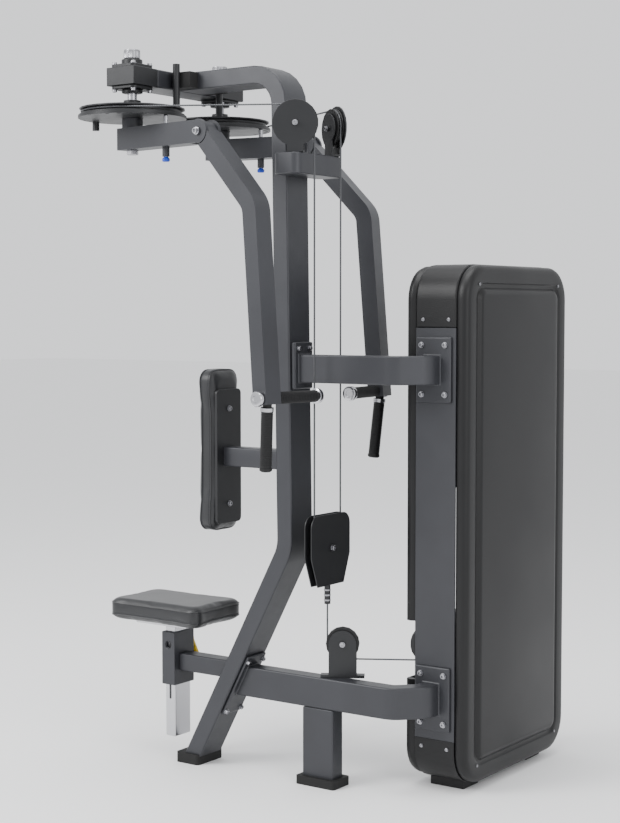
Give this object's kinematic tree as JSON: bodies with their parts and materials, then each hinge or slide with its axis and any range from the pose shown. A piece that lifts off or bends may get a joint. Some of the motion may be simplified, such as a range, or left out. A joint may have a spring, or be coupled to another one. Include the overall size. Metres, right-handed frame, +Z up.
{
  "type": "pec deck machine",
  "caption": "Pec deck strength machine: bent column, seat and back pad, two overhead swinging arms, cable drive and an enclosed weight-stack tower.",
  "frame": {"origin": "middle of the outer box, on the floor", "axes": "+Z up; the user sits facing -Y; the tower stands behind (+Y) and towards -X"},
  "size_m": [1.035, 1.0864, 2.018],
  "materials": {
    "frame_paint": "satin powder coat, dark blue-grey",
    "dark_paint": "satin black powder coat",
    "shroud": "semi-gloss black ABS",
    "pulley_nylon": "black nylon",
    "vinyl": "black vinyl upholstery",
    "rubber": "matte black rubber",
    "grip_rubber": "ribbed black rubber with chrome caps",
    "steel": "turned bright steel",
    "cable": "coated steel wire rope",
    "chrome": "polished chrome",
    "black_steel": "black powder coat",
    "blue_plastic": "blue knob plastic",
    "yellow_plastic": "yellow plastic",
    "cast_iron": "black painted iron"
  },
  "bodies": {
    "root": {"main_column": "frame_paint", "pivot_crossbeam": "frame_paint", "upper_link_beam": "frame_paint", "base_beam": "frame_paint", "rear_post": "frame_paint", "pulley_crossbar": "frame_paint", "pad_support": "frame_paint", "seat_beam": "frame_paint", "seat_sleeve": "frame_paint", "tower_side_near": "frame_paint", "tower_side_far": "frame_paint", "pivot_housing_left": "dark_paint", "pivot_housing_right": "dark_paint", "tower_top_cap": "shroud", "tower_bottom_cap": "shroud", "rear_shroud": "shroud", "front_shroud": "shroud", "back_pad": "vinyl", "front_foot": "rubber", "rear_foot": "rubber", "stop_buffer_left": "rubber", "stop_buffer_right": "rubber", "arm_cable": "cable", "stack_cable": "cable", "guide_rod_near": "chrome", "guide_rod_far": "chrome", "top_pulley_bracket_left": "black_steel", "top_pulley_bracket_right": "black_steel", "base_pulley_bracket": "black_steel", "low_pulley_bracket": "black_steel", "tower_base_plate": "black_steel", "tower_head_bracket": "black_steel", "weight_plates_resting": "cast_iron"},
    "weight_stack": {"weight_plates_lifted": "cast_iron"},
    "stack_pin": {"selector_pin": "yellow_plastic"},
    "disc_left": {"selector_disc_left": "black_steel", "pivot_shaft_left": "steel"},
    "disc_right": {"selector_disc_right": "black_steel", "pivot_shaft_right": "steel"},
    "linkage_left": {"link_left": "frame_paint"},
    "linkage_right": {"link_right": "frame_paint"},
    "swing_arm_left": {"arm_left": "frame_paint", "cross_handle_left": "grip_rubber", "down_grip_left": "grip_rubber"},
    "swing_arm_right": {"arm_right": "frame_paint", "cross_handle_right": "grip_rubber", "down_grip_right": "grip_rubber"},
    "pin_left": {"pop_pin_left": "blue_plastic"},
    "pin_right": {"pop_pin_right": "blue_plastic"},
    "pulley_block": {"floating_block": "black_steel"},
    "block_wheel": {"block_pulley": "pulley_nylon"},
    "top_wheel_left": {"top_pulley_left": "pulley_nylon"},
    "top_wheel_right": {"top_pulley_right": "pulley_nylon"},
    "base_wheel": {"base_pulley": "pulley_nylon"},
    "low_wheel": {"low_pulley": "pulley_nylon"},
    "head_wheel_near": {"head_pulley_near": "pulley_nylon"},
    "head_wheel_far": {"head_pulley_far": "pulley_nylon"},
    "seat": {"seat_post": "chrome", "seat_pad": "vinyl"},
    "lever": {"seat_lever": "yellow_plastic"}
  },
  "joints": [
    {"name": "weight_lift", "type": "slide", "parent": "root", "child": "weight_stack", "axis": [0, 0, 1], "range_m": [0, 0.256], "deforming": ["stack_cable"]},
    {"name": "block_lift", "type": "slide", "parent": "root", "child": "pulley_block", "axis": [0, 0, 1], "range_m": [0, 0.256], "deforming": ["arm_cable"]},
    {"name": "selector_pin_pull", "type": "slide", "parent": "weight_stack", "child": "stack_pin", "axis": [0, -1, 0], "range_m": [0, 0.06]},
    {"name": "left_disc_turn", "type": "hinge", "parent": "root", "child": "disc_left", "pos_m": [0.3675, -0.35115, 1.834], "axis": [0, 0, 1], "range_deg": [-105, 0]},
    {"name": "left_start_select", "type": "hinge", "parent": "disc_left", "child": "linkage_left", "pos_m": [0.3675, -0.35115, 1.774], "axis": [0, 0, 1], "range_deg": [-70, 0]},
    {"name": "left_arm_tilt", "type": "hinge", "parent": "linkage_left", "child": "swing_arm_left", "pos_m": [0.40828, -0.061, 1.774], "axis": [0.9903, -0.1392, 0], "range_deg": [0, 10]},
    {"name": "left_pop_pin_pull", "type": "slide", "parent": "linkage_left", "child": "pin_left", "axis": [0, 0, -1], "range_m": [0, 0.012], "stiffness_N_per_m": 2000, "springref_m": -0.005},
    {"name": "left_top_pulley_turn", "type": "hinge", "parent": "root", "child": "top_wheel_left", "pos_m": [0.25901, 0.12727, 1.798], "axis": [0.8716, 0.4903, 0], "range_deg": [0, 294]},
    {"name": "right_disc_turn", "type": "hinge", "parent": "root", "child": "disc_right", "pos_m": [-0.0225, -0.35115, 1.834], "axis": [0, 0, 1], "range_deg": [0, 105]},
    {"name": "right_start_select", "type": "hinge", "parent": "disc_right", "child": "linkage_right", "pos_m": [-0.0225, -0.35115, 1.774], "axis": [0, 0, 1], "range_deg": [0, 70]},
    {"name": "right_arm_tilt", "type": "hinge", "parent": "linkage_right", "child": "swing_arm_right", "pos_m": [-0.06328, -0.061, 1.774], "axis": [0.9903, 0.1392, 0], "range_deg": [0, 10]},
    {"name": "right_pop_pin_pull", "type": "slide", "parent": "linkage_right", "child": "pin_right", "axis": [0, 0, -1], "range_m": [0, 0.012], "stiffness_N_per_m": 2000, "springref_m": -0.005},
    {"name": "right_top_pulley_turn", "type": "hinge", "parent": "root", "child": "top_wheel_right", "pos_m": [0.08599, 0.12727, 1.798], "axis": [0.8716, -0.4903, 0], "range_deg": [0, 294]},
    {"name": "base_pulley_turn", "type": "hinge", "parent": "root", "child": "base_wheel", "pos_m": [0.15107, 0.20697, 0.393], "axis": [0.8601, 0.5101, 0], "range_deg": [-350, 0]},
    {"name": "low_pulley_turn", "type": "hinge", "parent": "root", "child": "low_wheel", "pos_m": [0.03146, 0.40865, 0.396], "axis": [0.8601, 0.5101, 0], "range_deg": [-327, 0]},
    {"name": "near_head_pulley_turn", "type": "hinge", "parent": "root", "child": "head_wheel_near", "pos_m": [-0.0365, 0.44735, 1.315], "axis": [0, 1, 0], "range_deg": [0, 327]},
    {"name": "far_head_pulley_turn", "type": "hinge", "parent": "root", "child": "head_wheel_far", "pos_m": [-0.1805, 0.44735, 1.315], "axis": [0, 1, 0], "range_deg": [0, 327]},
    {"name": "block_pulley_turn", "type": "hinge", "parent": "pulley_block", "child": "block_wheel", "pos_m": [0.1725, 0.17085, 0.657], "axis": [0, 1, 0], "range_deg": [-180, 180]},
    {"name": "seat_height", "type": "slide", "parent": "root", "child": "seat", "axis": [0, 0, 1], "range_m": [0, 0.12]},
    {"name": "seat_lever_turn", "type": "hinge", "parent": "root", "child": "lever", "pos_m": [0.1205, -0.35915, 0.34], "axis": [1, 0, 0], "range_deg": [0, 15], "stiffness_Nm_per_rad": 2, "springref_deg": -11.46}
  ],
  "couplings": [
    {"joint": "block_lift", "follows": "weight_lift", "ratio": 1},
    {"joint": "left_disc_turn", "follows": "weight_lift", "rad_per_m": -7.1429},
    {"joint": "left_top_pulley_turn", "follows": "weight_lift", "rad_per_m": 20},
    {"joint": "right_disc_turn", "follows": "weight_lift", "rad_per_m": 7.1429},
    {"joint": "right_top_pulley_turn", "follows": "weight_lift", "rad_per_m": 20},
    {"joint": "base_pulley_turn", "follows": "weight_lift", "rad_per_m": -23.81},
    {"joint": "low_pulley_turn", "follows": "weight_lift", "rad_per_m": -22.222},
    {"joint": "near_head_pulley_turn", "follows": "weight_lift", "rad_per_m": 22.222},
    {"joint": "far_head_pulley_turn", "follows": "weight_lift", "rad_per_m": 22.222}
  ]
}
